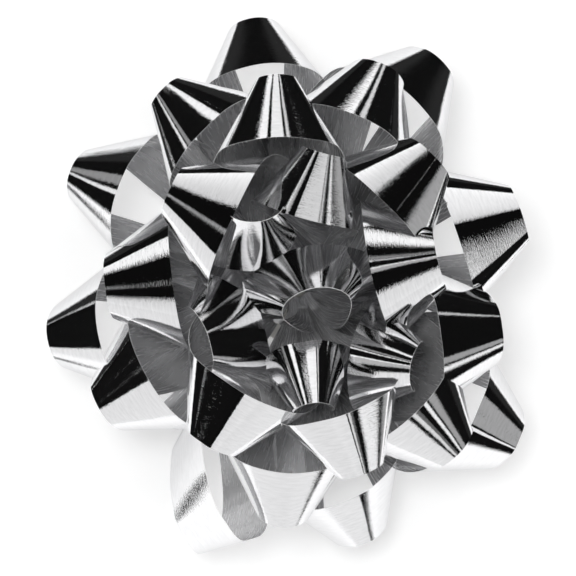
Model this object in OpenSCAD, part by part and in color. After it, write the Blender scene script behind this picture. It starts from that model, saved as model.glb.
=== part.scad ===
// Pre-made star gift bow: loops of metallised ribbon, each curled into an open cone, gathered in
// rising rings over a card disc, held by a wire staple and backed by an adhesive foam pad.
// The origin is the middle of the flat underside, +Z up. All lengths are in millimetres.

/* [Ribbon] */
// Width of the ribbon
ribbon_w = 19; // [18:0.5:20]
// Thickness of the film
film_t = 0.12; // [0.1:0.02:0.2]

/* [Loops] */
// Angle from a loop's axis up to the top of its cone
cone_rise = 20; // [18:1:22]
// How far the film curls round the cone, each way from the top
curl = 125; // [115:5:135]
// Width of each tail where the film is gathered under the staple
tail_w = 2.2; // [1.8:0.1:2.6]
// Gap between the two tails of one loop
tail_gap = 0.6; // [0.4:0.1:0.8]
// Distance from the bow's axis to the cut ends of the tails
tail_start = 2; // [1.5:0.5:3]
// Rise from one loop's tails to the next loop's
tail_pitch = 0.3; // [0.25:0.01:0.32]
// Steps round the cone of each loop
curl_steps = 24; // [16:2:32]
// Steps along each tail
tail_steps = 8; // [6:1:12]

/* [Base] */
// Diameter of the card disc
card_d = 32; // [28:1:38]
// Thickness of the card
card_t = 0.8; // [0.6:0.1:1.2]
// Diameter of the adhesive foam pad
pad_d = 26; // [20:1:28]
// Thickness of the foam pad
pad_t = 1; // [0.8:0.1:1.5]
// Thickness of the peel-off liner
liner_t = 0.2; // [0.1:0.05:0.3]
// Width of the liner's pull tab
tab_w = 10; // [8:1:14]
// How far the pull tab stands out past the liner's disc
tab_l = 6; // [4:1:9]

/* [Staple] */
// Diameter of the staple wire
wire_d = 0.8; // [0.6:0.1:1]
// Distance between the staple's legs
staple_w = 10; // [8:1:12]
// Length of each clinched leg end under the card
clinch_l = 3.5; // [3:0.5:4]

/* [Hidden] */
// How strongly the edge lines leave the cone and enter the gathering, as shares of their length
cone_pull = 0.1;
tail_pull = 0.5;

// Clearance between the liner and the pad, and between the card and the lowest tails
liner_gap = 0.05;
stack_gap = 0.3;
pad_z = liner_t + liner_gap;
card_z = pad_z + pad_t;
tail_z = card_z + card_t + stack_gap;

// Room round the staple in the card's holes and in the pad's slot, and how far cuts run past
hole_clearance = 0.1;
slot_clearance = 0.3;
cut_past = 1;

// Facets of large and of small round shapes
disc_facets = 96;
wire_facets = 32;

// One row for each loop, from the bottom of the stack to the top:
// name, then where its tip is (azimuth, distance from the axis, height), how its top line lies
// (slope down towards the tip, turn about +Z, roll about the line), its cone (distance from the
// apex to the tip edge, sideways half angle), and the direction that its tails run in.
LOOPS = [
    ["outer_loop_1", [99.5, 79, 24], [40, -2, 0], [13, 29], 99],
    ["outer_loop_2", [59, 77.5, 26], [40, -9, 0], [15, 29], 58],
    ["outer_loop_3", [19, 66, 40], [2, 0, 0], [13, 31], 19],
    ["outer_loop_4", [-35.5, 76.5, 26], [36, 6, 0], [17, 29], -35],
    ["outer_loop_5", [-75, 75.5, 20], [40, 8, 0], [14, 29], -75],
    ["outer_loop_6", [-110, 81, 19], [41, -49, -70], [45, 12], -117],
    ["outer_loop_7", [191, 73, 26], [36, -2, 0], [17, 27], 191],
    ["outer_loop_8", [152.5, 73.5, 26], [36, 8, 0], [13, 29], 152],
    ["lower_loop_1", [69.5, 67.5, 40], [28, -4, 0], [13, 29], 72],
    ["lower_loop_2", [-10.5, 58, 40], [22, 18, 0], [17, 29], -10],
    ["lower_loop_3", [-46, 64, 40], [25, 0, 0], [14, 29], -50],
    ["lower_loop_4", [-94, 67, 34], [32, 0, 0], [12, 29], -94],
    ["lower_loop_5", [211, 65.5, 34], [28, 0, 0], [15, 29], 215],
    ["lower_loop_6", [179, 54, 42], [5, 8, 0], [15, 29], 175],
    ["lower_loop_7", [124, 68, 40], [28, 11, 0], [10, 31], 124],
    ["upper_loop_1", [96, 60, 48], [20, -4, 0], [9, 30], 96],
    ["upper_loop_2", [45.5, 52.5, 50], [8, 0, 0], [13, 29], 48],
    ["upper_loop_3", [13, 39, 52], [-15, 0, 0], [14, 29], 10],
    ["upper_loop_4", [-34, 37, 52], [-28, 24, 0], [14, 24], -28],
    ["upper_loop_5", [-71, 54, 48], [20, 0, 0], [12, 29], -70],
    ["upper_loop_6", [-120, 50, 48], [18, 0, 0], [14, 29], -118],
    ["upper_loop_7", [208, 28, 52], [-36, -10, 0], [14, 32], 205],
    ["upper_loop_8", [142, 45, 52], [5, 13, 0], [10, 33], 150],
    ["inner_loop_1", [80, 38, 56], [-12, -6, 0], [12, 24], 75],
    ["inner_loop_2", [122, 22, 56], [-46, -27, 0], [12, 29], 122],
    ["inner_loop_3", [-83, 31, 56], [-28, 0, 0], [14, 20], -90],
    ["centre_loop", [8, 4, 60], [-52, -88, 0], [15, 29], -60],
];

// ---- vector helpers ----
function unit(v) = v / norm(v);
function flat_dir(a) = [cos(a), sin(a), 0];

// ---- one loop ----
// Frame of a loop's top line: [tip point, direction inwards, outward normal, sideways direction]
function top_frame(row) =
    let (
        a = row[1][0], in_dir = -flat_dir(a + row[2][1]), slope = row[2][0], roll = row[2][2],
        tip = row[1][1] * flat_dir(a) + [0, 0, row[1][2]],
        g = in_dir * cos(slope) + [0, 0, sin(slope)],
        n = -in_dir * sin(slope) + [0, 0, cos(slope)],
        t = cross(n, g)
    )
    [tip, g, n * cos(roll) + t * sin(roll), t * cos(roll) - n * sin(roll)];

// Direction of the cone's straight line at angle q round it, from the top
function cone_line(row, q) =
    let (
        f = top_frame(row),
        axis = f[1] * cos(cone_rise) - f[2] * sin(cone_rise),
        up = f[1] * sin(cone_rise) + f[2] * cos(cone_rise)
    )
    unit(axis + tan(cone_rise) * cos(q) * up + tan(row[3][1]) * sin(q) * f[3]);

// Flat angle of the film from the top line to each step round the cone, summed step by step
function flat_angles(row, steps, fine = 8) =
    let (
        dq = curl / (steps * fine),
        lines = [for (i = [0 : steps * fine]) cone_line(row, i * dq)],
        turn = [for (i = [1 : steps * fine]) 2 * asin(norm(lines[i] - lines[i - 1]) / 2)],
        total = [for (i = 0, s = 0; i <= len(turn); s = s + (i < len(turn) ? turn[i] : 0), i = i + 1) s]
    )
    [for (i = [0 : steps]) total[i * fine]];

// Both edges of the film at angle q, where the flat film has turned through f: the ribbon's edges
// are straight in the flat, so their distance from the apex grows as 1 / cos(f)
function cone_station(row, q, f) =
    let (apex = top_frame(row)[0] - row[3][0] * top_frame(row)[1], d = cone_line(row, q) / cos(f))
    [apex + row[3][0] * d, apex + (row[3][0] + ribbon_w) * d];

function bezier(p0, p1, p2, p3, t) =
    pow(1 - t, 3) * p0 + 3 * pow(1 - t, 2) * t * p1 + 3 * (1 - t) * t * t * p2 + t * t * t * p3;

// One tail: the edge points from the end of the curl on one side (-1 or 1) in to the staple.
// last and before are the curl's last two stations on that side.
function tail(row, level, side, last, before) =
    let (
        out_dir = flat_dir(row[4]),
        left = flat_dir(row[4] + 90),
        sideways = side * sign(top_frame(row)[3] * left) * left
    )
    [for (i = [1 : tail_steps]) [for (edge = [0, 1])
        let (
            p0 = last[edge],
            p3 = tail_start * out_dir + (tail_gap / 2 + edge * tail_w) * sideways + [0, 0, level],
            reach = norm(p3 - p0),
            p1 = p0 + cone_pull * reach * unit(last[edge] - before[edge]),
            p2 = p3 + tail_pull * reach * out_dir
        )
        bezier(p0, p1, p2, p3, i / tail_steps)
    ]];

function reversed(list) = [for (i = [len(list) - 1 : -1 : 0]) list[i]];

// All stations of a loop in order: one tail, the curl, the other tail
function loop_stations(row, level) =
    let (
        half = curl_steps / 2,
        f = flat_angles(row, half),
        right = [for (i = [0 : half]) cone_station(row, i * curl / half, f[i])],
        left = [for (i = [0 : half]) cone_station(row, -i * curl / half, -f[i])],
        left_tail = tail(row, level, -1, left[half], left[half - 1]),
        right_tail = tail(row, level, 1, right[half], right[half - 1])
    )
    concat(reversed(left_tail), reversed(left), [for (i = [1 : half]) right[i]], right_tail);

// Closed strip of film through a list of stations, half the film's thickness to each side
module film_strip(stations) {
    n = len(stations);
    function along(i, edge) = stations[min(i + 1, n - 1)][edge] - stations[max(i - 1, 0)][edge];
    function normal(i, edge) = unit(cross(along(i, edge), stations[i][1] - stations[i][0]));
    points = [for (side = [1, -1]) for (i = [0 : n - 1]) for (edge = [0, 1])
        stations[i][edge] + side * film_t / 2 * normal(i, edge)];
    function id(side, i, edge) = side * 2 * n + 2 * i + edge;
    function quad(a, b, c, d) = [[a, b, c], [a, c, d]];
    faces = concat(
        [for (i = [0 : n - 2]) each quad(id(0, i, 0), id(0, i, 1), id(0, i + 1, 1), id(0, i + 1, 0))],
        [for (i = [0 : n - 2]) each quad(id(1, i, 0), id(1, i + 1, 0), id(1, i + 1, 1), id(1, i, 1))],
        [for (i = [0 : n - 2]) each quad(id(0, i, 0), id(0, i + 1, 0), id(1, i + 1, 0), id(1, i, 0))],
        [for (i = [0 : n - 2]) each quad(id(0, i, 1), id(1, i, 1), id(1, i + 1, 1), id(0, i + 1, 1))],
        quad(id(0, 0, 0), id(1, 0, 0), id(1, 0, 1), id(0, 0, 1)),
        quad(id(0, n - 1, 0), id(0, n - 1, 1), id(1, n - 1, 1), id(1, n - 1, 0))
    );
    polyhedron(points, faces);
}

module bow_loop(i) {
    color("silver") film_strip(loop_stations(LOOPS[i], tail_z + i * tail_pitch));
}

// ---- base and staple ----
stack_top = tail_z + (len(LOOPS) - 1) * tail_pitch + film_t / 2;
crown_z = stack_top + wire_d / 2;
clinch_z = card_z - wire_d / 2;

module wire(length) {
    cylinder(h = length, d = wire_d, $fn = wire_facets);
}

module wire_staple() {
    color("lightgray") {
        // crown over the stack
        translate([-staple_w / 2, 0, crown_z]) rotate([0, 90, 0]) wire(staple_w);
        for (side = [-1, 1]) translate([side * staple_w / 2, 0, 0]) {
            translate([0, 0, clinch_z]) wire(crown_z - clinch_z);
            for (z = [clinch_z, crown_z]) translate([0, 0, z]) sphere(d = wire_d, $fn = wire_facets);
            // clinched end, folded inwards under the card
            translate([0, 0, clinch_z]) rotate([0, -side * 90, 0]) wire(clinch_l);
        }
    }
}

module card_disc() {
    color("gainsboro") difference() {
        translate([0, 0, card_z]) cylinder(h = card_t, d = card_d, $fn = disc_facets);
        for (side = [-1, 1]) translate([side * staple_w / 2, 0, card_z - cut_past])
            cylinder(h = card_t + 2 * cut_past, d = wire_d + 2 * hole_clearance, $fn = wire_facets);
    }
}

module foam_pad() {
    slot_l = staple_w + wire_d + 2 * slot_clearance;
    slot_w = wire_d + 2 * slot_clearance;
    slot_h = wire_d + hole_clearance;
    color("white") difference() {
        translate([0, 0, pad_z]) cylinder(h = pad_t, d = pad_d, $fn = disc_facets);
        translate([-slot_l / 2, -slot_w / 2, card_z - slot_h]) cube([slot_l, slot_w, slot_h + cut_past]);
    }
}

module release_liner() {
    liner_rim = 0.5;
    liner_d = pad_d + 2 * liner_rim;
    tab_end = liner_d / 2 + tab_l - tab_w / 2;
    color("ivory") union() {
        cylinder(h = liner_t, d = liner_d, $fn = disc_facets);
        // pull tab with a round end
        translate([0, -tab_w / 2, 0]) cube([tab_end, tab_w, liner_t]);
        translate([tab_end, 0, 0]) cylinder(h = liner_t, d = tab_w, $fn = disc_facets);
    }
}

for (i = [0 : len(LOOPS) - 1])
    bow_loop(i);
wire_staple();
card_disc();
foam_pad();
release_liner();
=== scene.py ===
"""Looks of the pre-made star gift bow: every loop of metallised ribbon as full film with a mirror
face, a pale reverse and cut edges, and procedural materials on the staple, card, foam and liner.

Lengths in the loop rows and in the film's mesh code are millimetres; objects are in metres.
"""

import math
import random

import bpy
import numpy as np
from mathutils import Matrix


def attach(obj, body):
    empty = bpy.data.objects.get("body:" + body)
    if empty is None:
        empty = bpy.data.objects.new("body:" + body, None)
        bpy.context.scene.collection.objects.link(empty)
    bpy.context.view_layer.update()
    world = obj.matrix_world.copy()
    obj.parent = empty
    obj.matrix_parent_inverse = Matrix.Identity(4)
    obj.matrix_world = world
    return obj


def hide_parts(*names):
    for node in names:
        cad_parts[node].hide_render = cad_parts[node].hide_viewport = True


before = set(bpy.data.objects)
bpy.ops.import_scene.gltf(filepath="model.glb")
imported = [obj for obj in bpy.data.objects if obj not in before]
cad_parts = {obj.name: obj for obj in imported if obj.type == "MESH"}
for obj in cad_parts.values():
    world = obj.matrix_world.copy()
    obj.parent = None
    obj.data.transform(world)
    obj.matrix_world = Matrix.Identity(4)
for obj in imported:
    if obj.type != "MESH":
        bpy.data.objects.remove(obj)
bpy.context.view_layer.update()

MM = 0.001

# ---- Ribbon, the same sizes as the CAD loops, in mm ----
RIBBON_W = 19.0
FILM_T = 0.12
CONE_RISE = math.radians(20)
CURL = math.radians(125)
TAIL_W = 2.2
TAIL_GAP = 0.6
TAIL_START = 2.0
TAIL_Z = 2.35
TAIL_PITCH = 0.3
CONE_PULL = 0.1
TAIL_PULL = 0.5

# ---- Film mesh: steps round the curl, along each tail and across; finer steps for flattening ----
CURL_STEPS = 128
TAIL_STEPS = 26
ACROSS = 12
FINE = 4

# ---- Kinds of face, in the order of the film's materials ----
MIRROR = 0
REVERSE = 1
CUT_EDGE = 2

# ---- Each loop's map starts at one of MAP_PLACES places, MAP_STEP mm apart ----
MAP_STEP = 400.0
MAP_PLACES = 17

# Name; the tip's azimuth, distance from the axis and height; slope, turn and roll of the cone's
# top line; distance from the apex to the tip edge and sideways half angle; direction of the tails.
LOOPS = [
    ["outer_loop_1", [99.5, 79, 24], [40, -2, 0], [13, 29], 99],
    ["outer_loop_2", [59, 77.5, 26], [40, -9, 0], [15, 29], 58],
    ["outer_loop_3", [19, 66, 40], [2, 0, 0], [13, 31], 19],
    ["outer_loop_4", [-35.5, 76.5, 26], [36, 6, 0], [17, 29], -35],
    ["outer_loop_5", [-75, 75.5, 20], [40, 8, 0], [14, 29], -75],
    ["outer_loop_6", [-110, 81, 19], [41, -49, -70], [45, 12], -117],
    ["outer_loop_7", [191, 73, 26], [36, -2, 0], [17, 27], 191],
    ["outer_loop_8", [152.5, 73.5, 26], [36, 8, 0], [13, 29], 152],
    ["lower_loop_1", [69.5, 67.5, 40], [28, -4, 0], [13, 29], 72],
    ["lower_loop_2", [-10.5, 58, 40], [22, 18, 0], [17, 29], -10],
    ["lower_loop_3", [-46, 64, 40], [25, 0, 0], [14, 29], -50],
    ["lower_loop_4", [-94, 67, 34], [32, 0, 0], [12, 29], -94],
    ["lower_loop_5", [211, 65.5, 34], [28, 0, 0], [15, 29], 215],
    ["lower_loop_6", [179, 54, 42], [5, 8, 0], [15, 29], 175],
    ["lower_loop_7", [124, 68, 40], [28, 11, 0], [10, 31], 124],
    ["upper_loop_1", [96, 60, 48], [20, -4, 0], [9, 30], 96],
    ["upper_loop_2", [45.5, 52.5, 50], [8, 0, 0], [13, 29], 48],
    ["upper_loop_3", [13, 39, 52], [-15, 0, 0], [14, 29], 10],
    ["upper_loop_4", [-34, 37, 52], [-28, 24, 0], [14, 24], -28],
    ["upper_loop_5", [-71, 54, 48], [20, 0, 0], [12, 29], -70],
    ["upper_loop_6", [-120, 50, 48], [18, 0, 0], [14, 29], -118],
    ["upper_loop_7", [208, 28, 52], [-36, -10, 0], [14, 32], 205],
    ["upper_loop_8", [142, 45, 52], [5, 13, 0], [10, 33], 150],
    ["inner_loop_1", [80, 38, 56], [-12, -6, 0], [12, 24], 75],
    ["inner_loop_2", [122, 22, 56], [-46, -27, 0], [12, 29], 122],
    ["inner_loop_3", [-83, 31, 56], [-28, 0, 0], [14, 20], -90],
    ["centre_loop", [8, 4, 60], [-52, -88, 0], [15, 29], -60],
]

# ---- Creases: gentle waves in the curl along straight lines from tip to rim ----
CREASES = 3
CREASE_COUNT = (3, 8)
CREASE_SHARE = 0.013
CREASE_SPREAD = (0.5, 1.2)
SEED = 31


# ---------------------------------------------------------------- material helpers
class Nodes:
    """A short way to build a node tree: an output passed as an input is linked, a value is set."""

    def __init__(self, tree):
        self.tree = tree
        tree.nodes.clear()

    def add(self, kind, inputs=None, **settings):
        made = self.tree.nodes.new(kind)
        for name, value in settings.items():
            setattr(made, name, value)
        for name, value in (inputs or {}).items():
            if isinstance(value, bpy.types.NodeSocket):
                self.tree.links.new(value, made.inputs[name])
            else:
                made.inputs[name].default_value = value
        return made

    def math(self, operation, *values):
        return self.add("ShaderNodeMath", dict(enumerate(values)), operation=operation).outputs[0]

    def noise(self, vector, scale, detail=2.0, roughness=0.5):
        inputs = {"Vector": vector, "Scale": scale, "Detail": detail, "Roughness": roughness}
        return self.add("ShaderNodeTexNoise", inputs).outputs["Fac"]

    def stretch(self, vector, scale):
        return self.add("ShaderNodeMapping", {"Vector": vector, "Scale": scale}).outputs[0]

    def ramp(self, factor, stops):
        made = self.add("ShaderNodeValToRGB", {"Fac": factor})
        elements = made.color_ramp.elements
        while len(elements) < len(stops):
            elements.new(0.5)
        for element, (place, colour) in zip(elements, stops):
            element.position = place
            element.color = (*colour, 1)
        return made.outputs["Color"]

    def range(self, factor, low, high):
        return self.slope(factor, 0.0, 1.0, low, high)

    def slope(self, value, start, end, low, high):
        """The value taken from start..end to low..high."""
        inputs = {"Value": value, "From Min": start, "From Max": end, "To Min": low, "To Max": high}
        return self.add("ShaderNodeMapRange", inputs).outputs[0]

    def mix(self, factor, first, second):
        return self.add("ShaderNodeMixShader", {0: factor, 1: first, 2: second}).outputs[0]

    def vector(self, operation, *values):
        made = self.add("ShaderNodeVectorMath", dict(enumerate(values)), operation=operation)
        return made.outputs["Value"]

    def white_light(self, strength):
        inputs = {"Color": (1, 1, 1, 1), "Strength": strength}
        return self.add("ShaderNodeBackground", inputs).outputs[0]

    def bump(self, height, distance, strength=1.0, normal=None):
        inputs = {"Height": height, "Distance": distance, "Strength": strength}
        if normal is not None:
            inputs["Normal"] = normal
        return self.add("ShaderNodeBump", inputs).outputs[0]


def new_material(name):
    made = bpy.data.materials.new(name)
    made.use_nodes = True
    return made, Nodes(made.node_tree)


def surface(n, **sockets):
    """Principled shader and output; socket names have _ in place of spaces."""
    inputs = {name.replace("_", " "): value for name, value in sockets.items()}
    shader = n.add("ShaderNodeBsdfPrincipled", inputs)
    n.add("ShaderNodeOutputMaterial", {"Surface": shader.outputs[0]})
    return shader


# ---------------------------------------------------------------- materials
def mirror_film():
    """Metallised face: fine grain drawn out along the ribbon breaks the edges of reflections."""
    made, n = new_material("film_mirror_face")
    uv = n.add("ShaderNodeUVMap", uv_map="ribbon").outputs[0]
    grain = n.noise(n.stretch(uv, (0.6, 2.8, 1)), 1.0, 2.0, 0.5)
    fleck = n.noise(n.stretch(uv, (1.4, 2.6, 1)), 1.0, 2.0, 0.6)
    ripple = n.noise(n.stretch(uv, (0.12, 0.05, 1)), 1.0, 1.0)
    cloud = n.noise(n.stretch(uv, (0.3, 1.5, 1)), 1.0)
    tone = n.ramp(cloud, [(0.3, (0.83, 0.83, 0.84)), (0.7, (0.9, 0.9, 0.91))])
    normal = n.bump(ripple, 0.00012)
    normal = n.bump(grain, 0.000011, 1.0, normal)
    normal = n.bump(fleck, 0.000012, 1.0, normal)
    surface(n, Base_Color=tone, Metallic=1.0, Roughness=n.range(fleck, 0.015, 0.07), Normal=normal)
    return made


def film_reverse():
    """Unmetallised side of the film: pale, with a soft gloss."""
    made, n = new_material("film_reverse")
    uv = n.add("ShaderNodeUVMap", uv_map="ribbon").outputs[0]
    streak = n.noise(n.stretch(uv, (0.15, 1.2, 1)), 1.0, 3.0)
    tone = n.ramp(streak, [(0.3, (0.65, 0.65, 0.66)), (0.7, (0.71, 0.71, 0.72))])
    normal = n.bump(streak, 0.000005)
    surface(n, Base_Color=tone, Metallic=0.58, Roughness=n.range(streak, 0.24, 0.3), Normal=normal)
    return made


def film_edge():
    """Cut edge, where the bare plastic shows white."""
    made, n = new_material("film_cut_edge")
    uv = n.add("ShaderNodeUVMap", uv_map="ribbon").outputs[0]
    nick = n.noise(n.stretch(uv, (2.0, 2.0, 1)), 1.0, 2.0)
    tone = n.ramp(nick, [(0.3, (0.78, 0.78, 0.79)), (0.7, (0.93, 0.93, 0.93))])
    surface(n, Base_Color=tone, Metallic=0.0, Roughness=n.range(nick, 0.35, 0.5))
    return made


def staple_wire():
    """Drawn galvanised wire with fine lines and dull patches."""
    made, n = new_material("staple_wire")
    place = n.add("ShaderNodeTexCoord").outputs["Object"]
    lines = n.noise(n.stretch(place, (900, 6000, 6000)), 1.0, 3.0)
    patch = n.noise(place, 900.0, 3.0)
    tone = n.ramp(patch, [(0.35, (0.42, 0.42, 0.43)), (0.7, (0.66, 0.66, 0.68))])
    normal = n.bump(lines, 0.00002)
    surface(n, Base_Color=tone, Metallic=1.0, Roughness=n.range(patch, 0.25, 0.45), Normal=normal)
    return made


def card_board():
    """Grey-white board with fibres and specks."""
    made, n = new_material("card_board")
    place = n.add("ShaderNodeTexCoord").outputs["Object"]
    fibre = n.noise(n.stretch(place, (700, 2600, 2600)), 1.0, 5.0, 0.65)
    speck = n.add("ShaderNodeTexVoronoi", {"Vector": place, "Scale": 900.0}).outputs["Distance"]
    stops = [(0.3, (0.62, 0.61, 0.58)), (0.55, (0.72, 0.71, 0.68)), (0.8, (0.8, 0.79, 0.77))]
    tone = n.ramp(fibre, stops)
    normal = n.bump(fibre, 0.00012)
    normal = n.bump(speck, 0.00003, 0.6, normal)
    surface(n, Base_Color=tone, Metallic=0.0, Roughness=n.range(fibre, 0.8, 0.95), Normal=normal)
    return made


def foam():
    """White closed-cell foam: small round cells."""
    made, n = new_material("adhesive_foam")
    place = n.add("ShaderNodeTexCoord").outputs["Object"]
    cell = n.add("ShaderNodeTexVoronoi", {"Vector": place, "Scale": 2200.0}).outputs["Distance"]
    shade = n.noise(place, 500.0, 3.0)
    tone = n.ramp(shade, [(0.3, (0.84, 0.83, 0.79)), (0.7, (0.93, 0.92, 0.89))])
    normal = n.bump(cell, 0.00015)
    surface(n, Base_Color=tone, Metallic=0.0, Roughness=n.range(cell, 0.55, 0.9), Normal=normal)
    return made


def liner_paper():
    """Release paper: warm, smooth, with a faint silicone sheen and fibre clouds."""
    made, n = new_material("liner_paper")
    place = n.add("ShaderNodeTexCoord").outputs["Object"]
    cloud = n.noise(place, 320.0, 4.0, 0.6)
    fibre = n.noise(n.stretch(place, (900, 3000, 3000)), 1.0, 4.0)
    tone = n.ramp(cloud, [(0.3, (0.82, 0.77, 0.64)), (0.7, (0.9, 0.86, 0.75))])
    normal = n.bump(fibre, 0.00003)
    surface(n, Base_Color=tone, Metallic=0.0, Roughness=n.range(cloud, 0.32, 0.48), Normal=normal)
    return made


def floor_paper():
    """White table top, evenly white to the camera. Painted dark reflection: to mirror rays only it
    turns near black past a radius, on one side, and in a small round painted dark spot."""
    made, n = new_material("floor_white")
    place = n.add("ShaderNodeTexCoord").outputs["Object"]
    cloud = n.noise(place, 40.0, 2.0)
    tone = n.ramp(cloud, [(0.3, (0.93, 0.93, 0.93)), (0.7, (0.95, 0.95, 0.95))])
    matt = n.add("ShaderNodeBsdfDiffuse", {"Color": tone, "Roughness": 0.9})
    glossy = n.add("ShaderNodeLightPath").outputs["Is Glossy Ray"]
    strength = n.range(glossy, TABLE_GLOW, 0.0)
    glow = n.add("ShaderNodeEmission", {"Color": (1, 1, 1, 1), "Strength": strength})
    white = n.add("ShaderNodeAddShader", {0: matt.outputs[0], 1: glow.outputs[0]})
    # painted dark reflection: near black, seen by mirror rays only
    dark = n.add("ShaderNodeBsdfDiffuse", {"Color": (*PAINTED_DARK_REFLECTION, 1)})
    beyond = n.math("GREATER_THAN", n.vector("LENGTH", place), PAINTED_DARK_RADIUS)
    towards = n.vector("DOT_PRODUCT", place, DARK_SIDE)
    beyond = n.math("MULTIPLY", beyond, n.math("GREATER_THAN", towards, DARK_FROM))
    # a small round painted dark spot on the table, seen by mirror rays only
    painted_dark_spot = n.math("LESS_THAN", n.vector("DISTANCE", place, PAINTED_DARK_SPOT_PLACE), PAINTED_DARK_SPOT_RADIUS)
    mirrored = n.math("MULTIPLY", n.math("MAXIMUM", beyond, painted_dark_spot), glossy)
    seen = n.mix(mirrored, white.outputs[0], dark.outputs[0])
    n.add("ShaderNodeOutputMaterial", {"Surface": seen})
    return made


# ---------------------------------------------------------------- film shape
def unit(v):
    return v / np.linalg.norm(v, axis=-1, keepdims=True)


def flat_dir(angle):
    return np.array([math.cos(angle), math.sin(angle), 0.0])


class Loop:
    """One loop of ribbon: a cone on its side, open at both ends, and its two tails."""

    def __init__(self, number, row, draw):
        self.name = row[0]
        azimuth, distance, height = row[1]
        slope, turn, roll = (math.radians(x) for x in row[2])
        azimuth = math.radians(azimuth)
        self.tip_cut = row[3][0]
        self.side = math.radians(row[3][1])
        self.tail_dir = flat_dir(math.radians(row[4]))
        self.tail_left = flat_dir(math.radians(row[4] + 90))
        self.level = TAIL_Z + number * TAIL_PITCH
        up = np.array([0.0, 0.0, 1.0])
        inwards = -flat_dir(azimuth + turn)
        self.top = inwards * math.cos(slope) + up * math.sin(slope)
        n = up * math.cos(slope) - inwards * math.sin(slope)
        t = np.cross(n, self.top)
        self.outward = n * math.cos(roll) + t * math.sin(roll)
        self.sideways = t * math.cos(roll) - n * math.sin(roll)
        self.apex = distance * flat_dir(azimuth) + up * height - self.tip_cut * self.top
        self.axis = self.top * math.cos(CONE_RISE) - self.outward * math.sin(CONE_RISE)
        self.rise = self.top * math.sin(CONE_RISE) + self.outward * math.cos(CONE_RISE)
        self.waves = [
            (
                draw.uniform(*CREASE_COUNT),
                draw.uniform(0, 2 * math.pi),
                CREASE_SHARE * draw.uniform(*CREASE_SPREAD),
            )
            for _ in range(CREASES)
        ]

    def lines(self, angles):
        """Directions of the cone's straight lines; the creases fade out towards the tails."""
        fade = np.cos(angles / CURL * math.pi / 2) ** 0.5
        waves = [share * np.sin(count * angles + phase) for count, phase, share in self.waves]
        wave = sum(waves) * fade
        up = (1 + wave)[:, None] * (math.tan(CONE_RISE) * np.cos(angles)[:, None] * self.rise)
        out = (1 + wave)[:, None] * (math.tan(self.side) * np.sin(angles)[:, None] * self.sideways)
        return unit(self.axis + up + out)

    def curl(self):
        """Both edges of the film at every step round the cone, straight edges in the flat."""
        half = CURL_STEPS // 2 * FINE
        angles = np.linspace(-CURL, CURL, 2 * half + 1)
        lines = self.lines(angles)
        turn = np.arccos(np.clip(np.sum(lines[1:] * lines[:-1], axis=1), -1, 1))
        flat = np.concatenate([[0], np.cumsum(turn)])
        flat -= flat[half]
        reach = lines / np.cos(flat)[:, None]
        edges = [self.apex + d * reach for d in (self.tip_cut, self.tip_cut + RIBBON_W)]
        return np.stack(edges, axis=1)[::FINE]

    def tail(self, side, last, before):
        """Both edges of one tail, from the curl's end to the staple, each a smooth cubic curve."""
        sideways = side * np.sign(self.sideways @ self.tail_left) * self.tail_left
        t = np.linspace(0, 1, TAIL_STEPS + 1)[1:, None]
        edges = []
        for edge in (0, 1):
            p0 = last[edge]
            p3 = TAIL_START * self.tail_dir + (TAIL_GAP / 2 + edge * TAIL_W) * sideways
            p3 = p3 + np.array([0.0, 0.0, self.level])
            length = np.linalg.norm(p3 - p0)
            p1 = p0 + CONE_PULL * length * unit(last[edge] - before[edge])
            p2 = p3 + TAIL_PULL * length * self.tail_dir
            near = (1 - t) ** 3 * p0 + 3 * (1 - t) ** 2 * t * p1
            edges.append(near + 3 * (1 - t) * t * t * p2 + t**3 * p3)
        return np.stack(edges, axis=1)

    def stations(self):
        """Both edges all along the ribbon, from one tail's end to the other's."""
        curl = self.curl()
        left = self.tail(-1, curl[0], curl[1])
        right = self.tail(1, curl[-1], curl[-2])
        return np.concatenate([left[::-1], curl, right])


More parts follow.
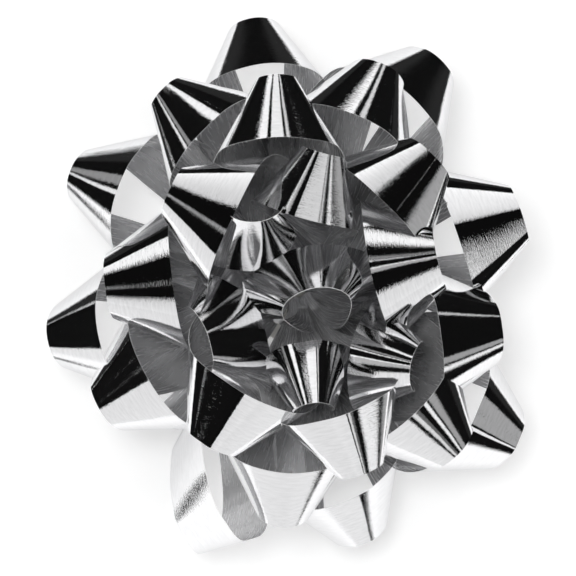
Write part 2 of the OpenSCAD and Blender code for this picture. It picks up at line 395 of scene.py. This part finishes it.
def film_mesh(loop):
    """Closed film with thickness. Returns the mesh, the ribbon's length in mm and the film's area
    in square mm."""
    edges = loop.stations()
    across = np.linspace(0, 1, ACROSS + 1)[None, :, None]
    middle = edges[:, :1] * (1 - across) + edges[:, 1:] * across
    along = unit(np.gradient(middle, axis=0))
    normal = unit(np.cross(along, np.broadcast_to(edges[:, 1:] - edges[:, :1], middle.shape)))
    top = len(edges) // 2
    if normal[top, 0] @ loop.outward < 0:
        normal = -normal
    stations, columns = middle.shape[:2]
    sheets = [middle + side * FILM_T / 2 * normal for side in (1, -1)]
    points = np.concatenate([s.reshape(-1, 3) for s in sheets]) * MM

    centre = middle[:, ACROSS // 2]
    run = np.concatenate([[0], np.cumsum(np.linalg.norm(np.diff(centre, axis=0), axis=1))])
    widths = np.linalg.norm(edges[:, 1] - edges[:, 0], axis=1)
    area = float(np.sum((widths[1:] + widths[:-1]) / 2 * np.diff(run)))

    def corner(sheet, i, j):
        return (sheet * stations + i) * columns + j

    faces = []
    kinds = []
    for i in range(stations - 1):
        for j in range(columns - 1):
            square = [(i, j), (i + 1, j), (i + 1, j + 1), (i, j + 1)]
            faces.append([corner(0, *place) for place in square])
            kinds.append(MIRROR)
            faces.append([corner(1, *square[k]) for k in (0, 3, 2, 1)])
            kinds.append(REVERSE)
        for j, flip in ((0, False), (columns - 1, True)):
            rim = [corner(0, i, j), corner(1, i, j), corner(1, i + 1, j), corner(0, i + 1, j)]
            faces.append(rim[::-1] if flip else rim)
            kinds.append(CUT_EDGE)
    for j in range(columns - 1):
        for i, flip in ((0, True), (stations - 1, False)):
            end = [corner(0, i, j), corner(1, i, j), corner(1, i, j + 1), corner(0, i, j + 1)]
            faces.append(end[::-1] if flip else end)
            kinds.append(CUT_EDGE)
    # the first sheet has to face outwards
    a, b, c = (points[faces[0][k]] for k in (0, 1, 2))
    if np.cross(b - a, c - a) @ normal[0, 0] < 0:
        faces = [f[::-1] for f in faces]

    mesh = bpy.data.meshes.new(loop.name + "_film")
    mesh.from_pydata(points.tolist(), [], faces)
    mesh.polygons.foreach_set("material_index", kinds)
    mesh.polygons.foreach_set("use_smooth", [kind != CUT_EDGE for kind in kinds])
    uv = mesh.uv_layers.new(name="ribbon")
    vertex = np.empty(len(mesh.loops), dtype=np.int32)
    mesh.loops.foreach_get("vertex_index", vertex)
    station = vertex % (stations * columns) // columns
    column = vertex % columns
    offset = MAP_STEP * (hash_number(loop.name) % MAP_PLACES)
    coords = np.stack([run[station] + offset, column / ACROSS * RIBBON_W], axis=1)
    uv.data.foreach_set("uv", coords.astype(np.float32).ravel())
    mark_rims(mesh, kinds)
    mesh.validate()
    mesh.update()
    return mesh, float(run[-1]), area


def hash_number(text):
    """A whole number made from a name, the same in each run."""
    return sum((k + 1) * ord(c) for k, c in enumerate(text))


def mark_rims(mesh, kinds):
    """Sharp edges wherever a face of the film meets its cut edge."""
    around = {}
    for polygon, kind in zip(mesh.polygons, kinds):
        for key in polygon.edge_keys:
            around.setdefault(key, set()).add(kind)
    sharp = [len(around[tuple(sorted(e.vertices))]) > 1 for e in mesh.edges]
    mesh.attributes.new("sharp_edge", "BOOLEAN", "EDGE").data.foreach_set("value", sharp)


def build_loops():
    draw = random.Random(SEED)
    film = [mirror_film(), film_reverse(), film_edge()]
    for number, row in enumerate(LOOPS):
        loop = Loop(number, row, draw)
        mesh, length, area = film_mesh(loop)
        piece = bpy.data.objects.new("ribbon_" + loop.name, mesh)
        bpy.context.scene.collection.objects.link(piece)
        for material in film:
            mesh.materials.append(material)
        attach(piece, "root")
        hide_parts(loop.name)


def dress_cad():
    """Materials for the CAD pieces that are shown as they are."""
    looks = {
        "wire_staple": staple_wire(),
        "card_disc": card_board(),
        "foam_pad": foam(),
        "release_liner": liner_paper(),
    }
    for name, material in looks.items():
        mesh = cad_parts[name].data
        mesh.materials.clear()
        mesh.materials.append(material)


# ---------------------------------------------------------------- studio
CAMERA_PLACE = (-0.00297, 0.00059, 0.7)
CAMERA_LENS = 147.5
SENSOR_WIDTH = 36.0
CLIP_START = 0.05

KEY_PLACE = (-0.13, 0.13, 0.9)
KEY_SIZE = 0.3
KEY_WATTS = 2.2

# The table: its half size and drop below the liner; the painted dark reflection that only the
# film's mirror face sees: how dark, and where
FLOOR_HALF = 3.0
FLOOR_DROP = 0.0002
TABLE_GLOW = 0.14
PAINTED_DARK_REFLECTION = (0.02, 0.02, 0.02)
PAINTED_DARK_RADIUS = 0.165
DARK_SIDE = (0.17, 0.985, 0.0)
DARK_FROM = -0.06
# a small round painted dark spot, seen only in the mirror face
PAINTED_DARK_SPOT_PLACE = (-0.158, -0.1, 0.0)
PAINTED_DARK_SPOT_RADIUS = 0.024

# Light on matt surfaces: its strength overhead and round the sides, and the angles from
# overhead between which it rises; then the backdrop's strength in front of the camera
AMBIENT_OVERHEAD = 0.02
AMBIENT_ROUND = 1.75
AMBIENT_FROM = 15.0
AMBIENT_TO = 70.0
BACKDROP = 1.05

# Bright panels round the set, as the mirror face sees them: azimuth, half width, lowest and
# highest angle from overhead, in degrees; brightness; share of it left at the lowest angle
PANELS = [
    (-90, 30, 20, 52, 0.9, 0.75),
    (-106, 46, 52, 97, 0.92, 0.9),
    (-172, 8, 14, 60, 0.5, 0.8),
    (-179, 2, 20, 66, 1.0, 1.0),
    (93, 17, 18, 66, 1.15, 0.6),
    (124, 6, 22, 66, 1.05, 1.0),
    (152, 3, 30, 98, 0.3, 1.0),
    (160, 2, 30, 98, 0.9, 1.0),
    (66, 3, 30, 82, 0.75, 1.0),
    (48, 3, 26, 60, 0.35, 1.0),
    (24, 2, 24, 84, 0.6, 1.0),
    (-18, 5, 34, 96, 0.4, 0.9),
    (-30, 3, 34, 96, 0.95, 1.0),
    (-46, 3, 30, 62, 0.14, 1.0),
    (-52, 3, 5, 60, 0.8, 0.9),
]
DARK = 0.004


def build_floor():
    mesh = bpy.data.meshes.new("floor")
    h = FLOOR_HALF
    mesh.from_pydata([(-h, -h, 0), (h, -h, 0), (h, h, 0), (-h, h, 0)], [], [(0, 1, 2, 3)])
    floor = bpy.data.objects.new("floor", mesh)
    floor.location.z = -FLOOR_DROP
    mesh.materials.append(floor_paper())
    bpy.context.scene.collection.objects.link(floor)


def build_world():
    """White light all round for matt surfaces; panels in a dark room for mirror ones."""
    world = bpy.data.worlds.new("studio")
    bpy.context.scene.world = world
    world.use_nodes = True
    n = Nodes(world.node_tree)
    direction = n.add("ShaderNodeTexCoord").outputs["Generated"]
    parts = n.add("ShaderNodeSeparateXYZ", {0: direction}).outputs
    azimuth = n.math("MULTIPLY", n.math("ARCTAN2", parts["Y"], parts["X"]), 180 / math.pi)
    zenith = n.math("MULTIPLY", n.math("ARCCOSINE", parts["Z"]), 180 / math.pi)
    total = None
    for centre, half, low, high, value, share in PANELS:
        turned = n.math("WRAP", n.math("SUBTRACT", azimuth, float(centre)), 180.0, -180.0)
        inside = n.math("LESS_THAN", n.math("ABSOLUTE", turned), float(half))
        inside = n.math("MULTIPLY", inside, n.math("GREATER_THAN", zenith, float(low)))
        inside = n.math("MULTIPLY", inside, n.math("LESS_THAN", zenith, float(high)))
        panel = n.math("MULTIPLY", inside, n.slope(zenith, low, high, value * share, value))
        total = panel if total is None else n.math("MAXIMUM", total, panel)
    total = n.math("MAXIMUM", total, DARK)
    path = n.add("ShaderNodeLightPath").outputs
    spread = n.slope(zenith, AMBIENT_FROM, AMBIENT_TO, AMBIENT_OVERHEAD, AMBIENT_ROUND)
    matt = n.white_light(spread)
    backdrop = n.white_light(BACKDROP)
    mirrored = n.white_light(total)
    unseen = n.mix(path["Is Glossy Ray"], matt, mirrored)
    seen = n.mix(path["Is Camera Ray"], unseen, backdrop)
    n.add("ShaderNodeOutputWorld", {"Surface": seen})


def build_lights():
    light = bpy.data.lights.new("key", "AREA")
    light.shape = "DISK"
    light.size = KEY_SIZE
    light.energy = KEY_WATTS
    key = bpy.data.objects.new("key", light)
    key.location = KEY_PLACE
    key.rotation_euler = key.location.to_track_quat("Z", "Y").to_euler()
    key.visible_glossy = False
    bpy.context.scene.collection.objects.link(key)


def build_camera():
    camera = bpy.data.cameras.new("camera")
    camera.lens = CAMERA_LENS
    camera.sensor_width = SENSOR_WIDTH
    camera.clip_start = CLIP_START
    placed = bpy.data.objects.new("camera", camera)
    placed.location = CAMERA_PLACE
    bpy.context.scene.collection.objects.link(placed)
    bpy.context.scene.camera = placed


build_camera()
build_loops()
dress_cad()
build_floor()
build_world()
build_lights()
bpy.context.scene.view_settings.view_transform = "Standard"
